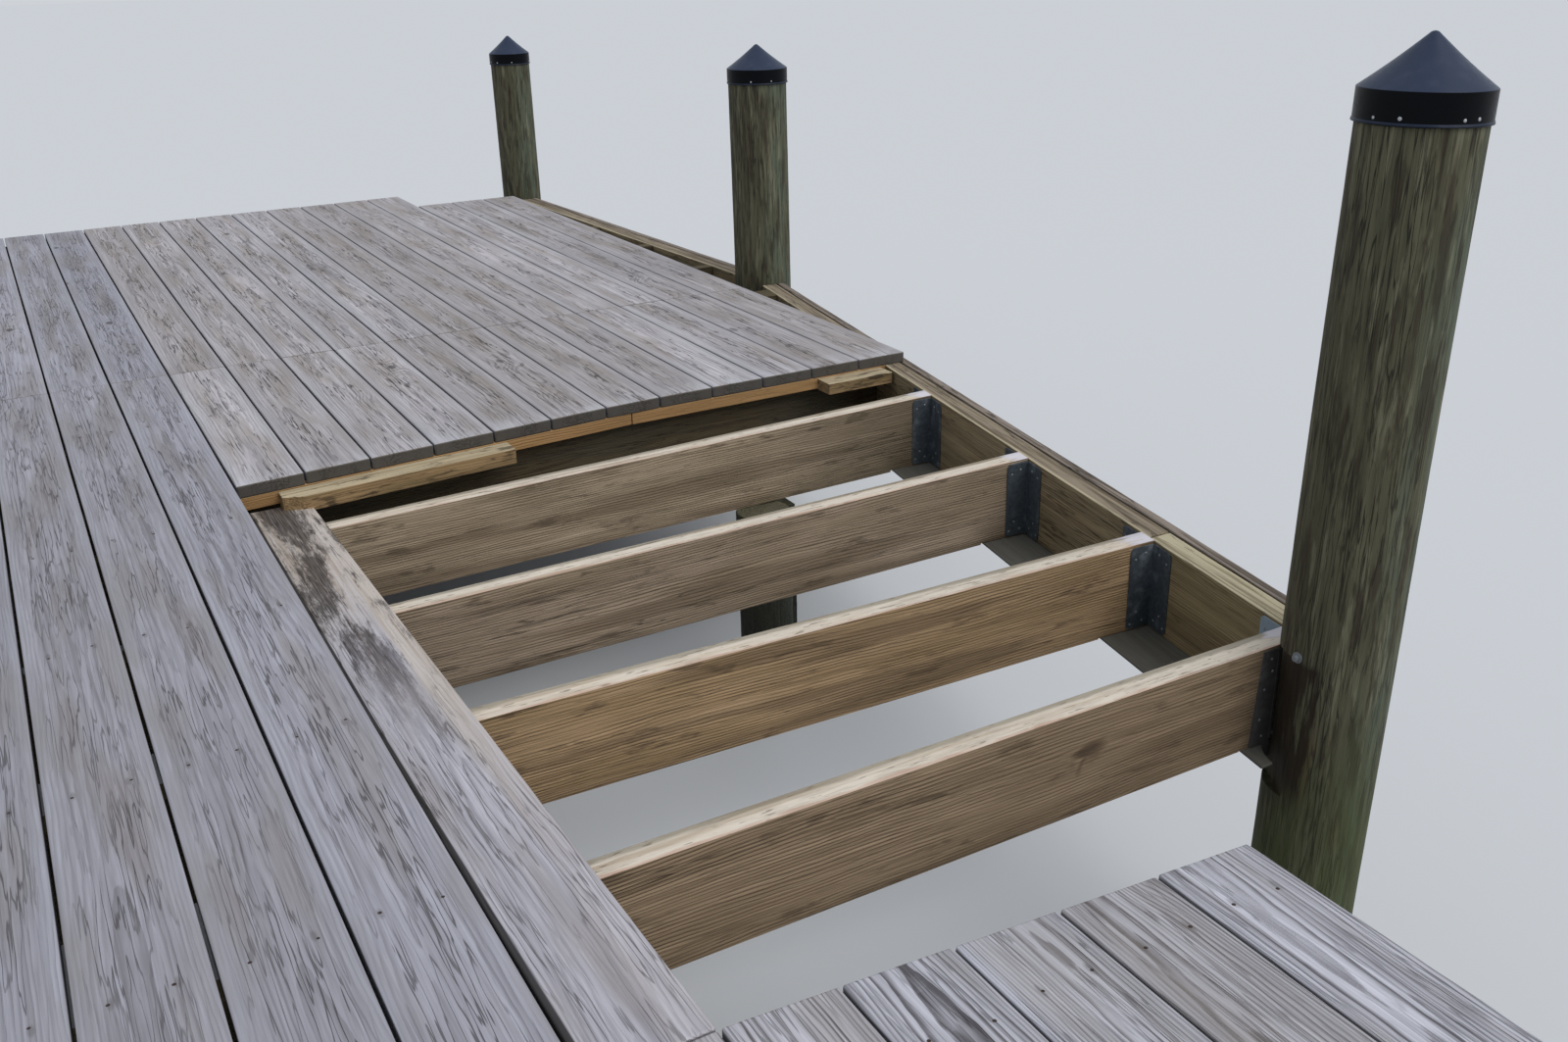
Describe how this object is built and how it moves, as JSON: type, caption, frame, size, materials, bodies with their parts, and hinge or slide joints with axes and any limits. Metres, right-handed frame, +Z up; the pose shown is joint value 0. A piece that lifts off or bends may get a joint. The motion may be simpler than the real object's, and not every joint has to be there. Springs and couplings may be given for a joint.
{
  "type": "wooden jetty with one bay stripped for repair",
  "caption": "Weathered wooden jetty on capped mooring piles, with one bay stripped to its open joists for repair.",
  "frame": {"origin": "centre of the plan's bounding box, at the level of the pile feet", "axes": "+X from the bank side out over the water, +Y along the deck boards from the near end to the far end, +Z up"},
  "size_m": [4.3508, 10.73, 2.2337],
  "materials": {
    "weathered_deck": "sawn softwood, silvered by weather, with cracks and knots",
    "stained_deck": "old deck board with dark mildew stains at its sunken end",
    "joist_wood": "rough-sawn pressure-treated pine, olive tan with cream top edges",
    "frame_wood": "damp old pressure-treated pine under the deck",
    "rim_wood": "old rim board, brown olive, cracked along the grain",
    "new_rim_wood": "newer rim board with a pale yellow top edge",
    "fascia_wood": "rough outer facing board, grey brown",
    "pile_wood": "peeled round pile, khaki with dark streaks and green low down",
    "stub_wood": "wet pile, dark green brown",
    "cap_plastic": "satin near-black moulded cap",
    "bracket_steel": "dull galvanised angle, slate blue",
    "new_wood": "fresh orange-tan sawn strip",
    "offcut_wood": "cream offcut with a dark knot stain"
  },
  "bodies": {
    "root": {"near_pile": "pile_wood", "bay_pile": "pile_wood", "corner_pile": "pile_wood", "end_pile": "pile_wood", "near_cap": "cap_plastic", "bay_cap": "cap_plastic", "corner_cap": "cap_plastic", "end_cap": "cap_plastic", "bank_piles": "stub_wood", "inner_piles": "stub_wood", "near_stubs": "stub_wood", "sunken_posts": "stub_wood", "lone_pile": "stub_wood", "square_post": "stub_wood", "bank_beam": "frame_wood", "inner_beam": "frame_wood", "near_beam": "frame_wood", "sunken_beam": "frame_wood", "bank_rim": "rim_wood", "near_rim": "rim_wood", "near_end_rim": "rim_wood", "far_end_rim": "rim_wood", "near_joists": "frame_wood", "bank_joists": "frame_wood", "far_joists": "frame_wood", "cut_joist": "frame_wood", "joist_1": "joist_wood", "joist_2": "joist_wood", "joist_3": "joist_wood", "joist_4": "joist_wood", "rim_old": "rim_wood", "rim_new": "new_rim_wood", "fascia": "fascia_wood", "rim_ledge": "rim_wood", "angle_brackets": "bracket_steel", "bank_deck": "weathered_deck", "near_deck": "weathered_deck", "far_deck": "weathered_deck", "stained_board": "stained_deck", "nailing_strip": "new_wood", "long_block": "offcut_wood", "short_block": "offcut_wood"}
  },
  "joints": []
}
